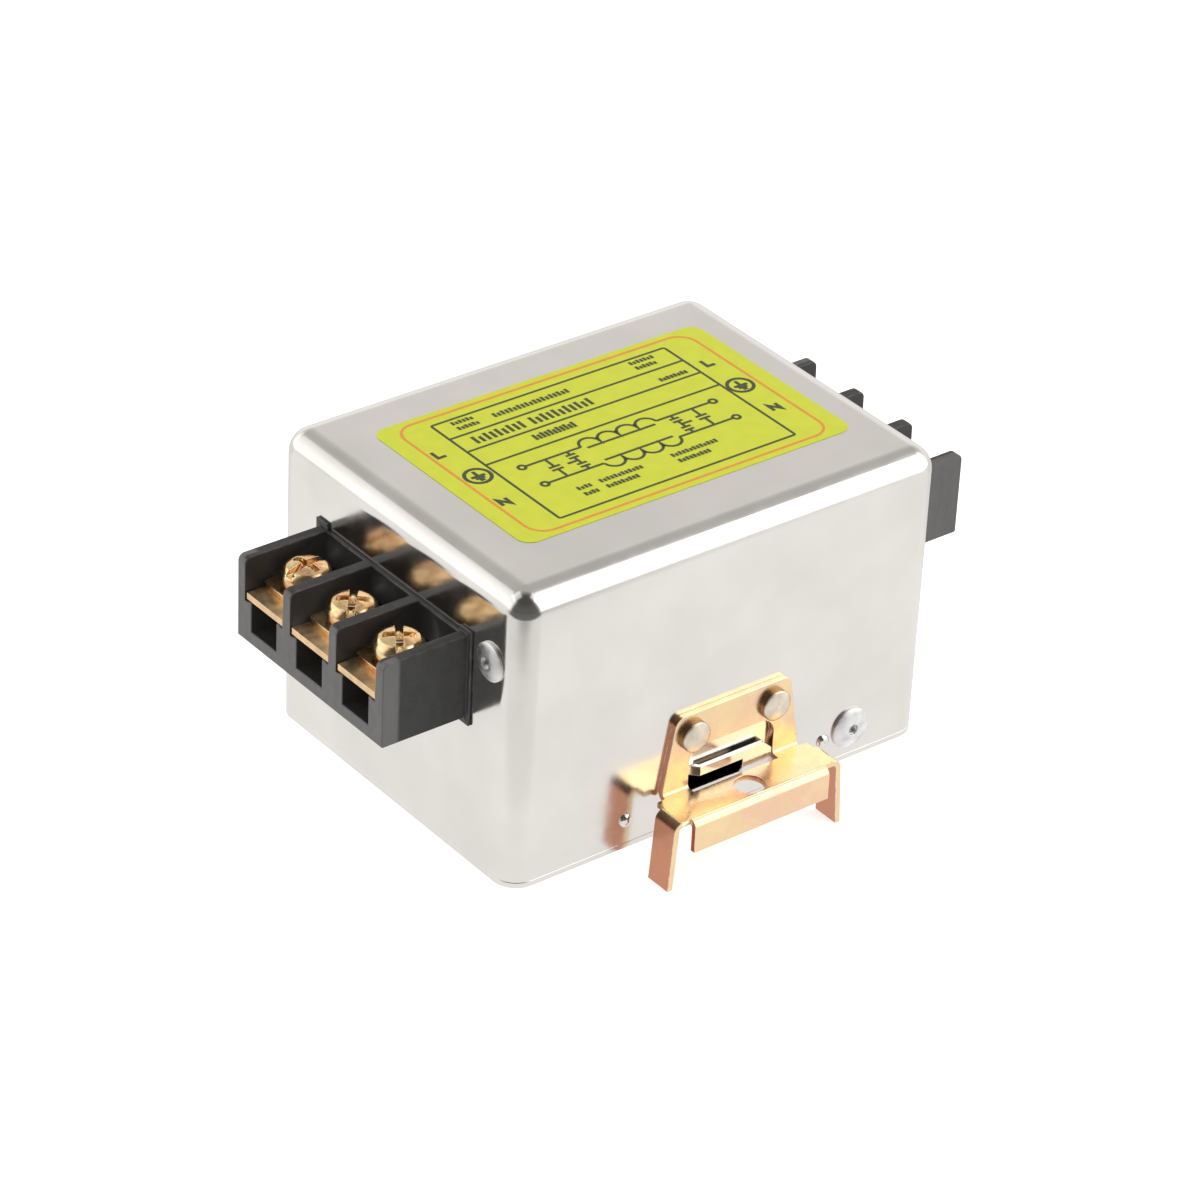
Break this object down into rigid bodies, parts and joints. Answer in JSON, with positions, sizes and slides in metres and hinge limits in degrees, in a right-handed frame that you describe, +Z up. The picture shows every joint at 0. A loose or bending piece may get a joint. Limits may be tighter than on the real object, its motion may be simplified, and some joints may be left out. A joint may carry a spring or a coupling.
{
  "type": "emi line filter",
  "caption": "Single-phase mains noise filter in a drawn metal can, with barrier terminal blocks on both ends and clips for a mounting rail.",
  "frame": {"origin": "under the middle of the case, level with the ends of the clip legs", "axes": "+X from the input block to the output block, -Y out of the front wall, +Z up through the label"},
  "size_m": [0.1382, 0.0994, 0.0692],
  "materials": {
    "nickel": "satin nickel plate on drawn steel, nearly mirror-like",
    "rivet_metal": "bright rivet alloy",
    "label_film": "printed yellow-green film",
    "block_plastic": "black moulding compound, satin",
    "terminal_brass": "bright brass",
    "screw_zinc": "yellow zinc plate",
    "clip_zinc": "yellow chromate on folded steel, faintly iridescent",
    "clip_rivet_metal": "pale rivet alloy",
    "board_laminate": "green laminate",
    "carrier_plastic": "natural moulding",
    "core_ferrite": "dark ferrite",
    "winding_copper": "enamelled copper wire",
    "capacitor_box": "moulded box",
    "capacitor_disc": "dipped disc",
    "resistor_coat": "painted film resistor",
    "lead_jacket": "insulated wire"
  },
  "bodies": {
    "root": {"case_cover": "nickel", "base_plate": "nickel", "cover_rivets": "rivet_metal", "rating_label": "label_film", "input_terminal_block": "block_plastic", "output_terminal_block": "block_plastic", "input_terminal_strips": "terminal_brass", "output_terminal_strips": "terminal_brass", "input_clamp_plates": "screw_zinc", "output_clamp_plates": "screw_zinc", "input_spring_washers": "screw_zinc", "output_spring_washers": "screw_zinc", "input_terminal_screws": "screw_zinc", "output_terminal_screws": "screw_zinc", "input_block_rivets": "rivet_metal", "output_block_rivets": "rivet_metal", "front_rail_clip": "clip_zinc", "rear_rail_clip": "clip_zinc", "front_clip_rivets": "clip_rivet_metal", "rear_clip_rivets": "clip_rivet_metal", "circuit_board": "board_laminate", "board_pillars": "rivet_metal", "board_screws": "rivet_metal", "choke_carrier": "carrier_plastic", "choke_core": "core_ferrite", "line_winding": "winding_copper", "neutral_winding": "winding_copper", "input_x_capacitor": "capacitor_box", "output_x_capacitor": "capacitor_box", "line_y_capacitor": "capacitor_disc", "neutral_y_capacitor": "capacitor_disc", "bleed_resistor": "resistor_coat", "input_lead_wires": "lead_jacket", "output_lead_wires": "lead_jacket"}
  },
  "joints": []
}
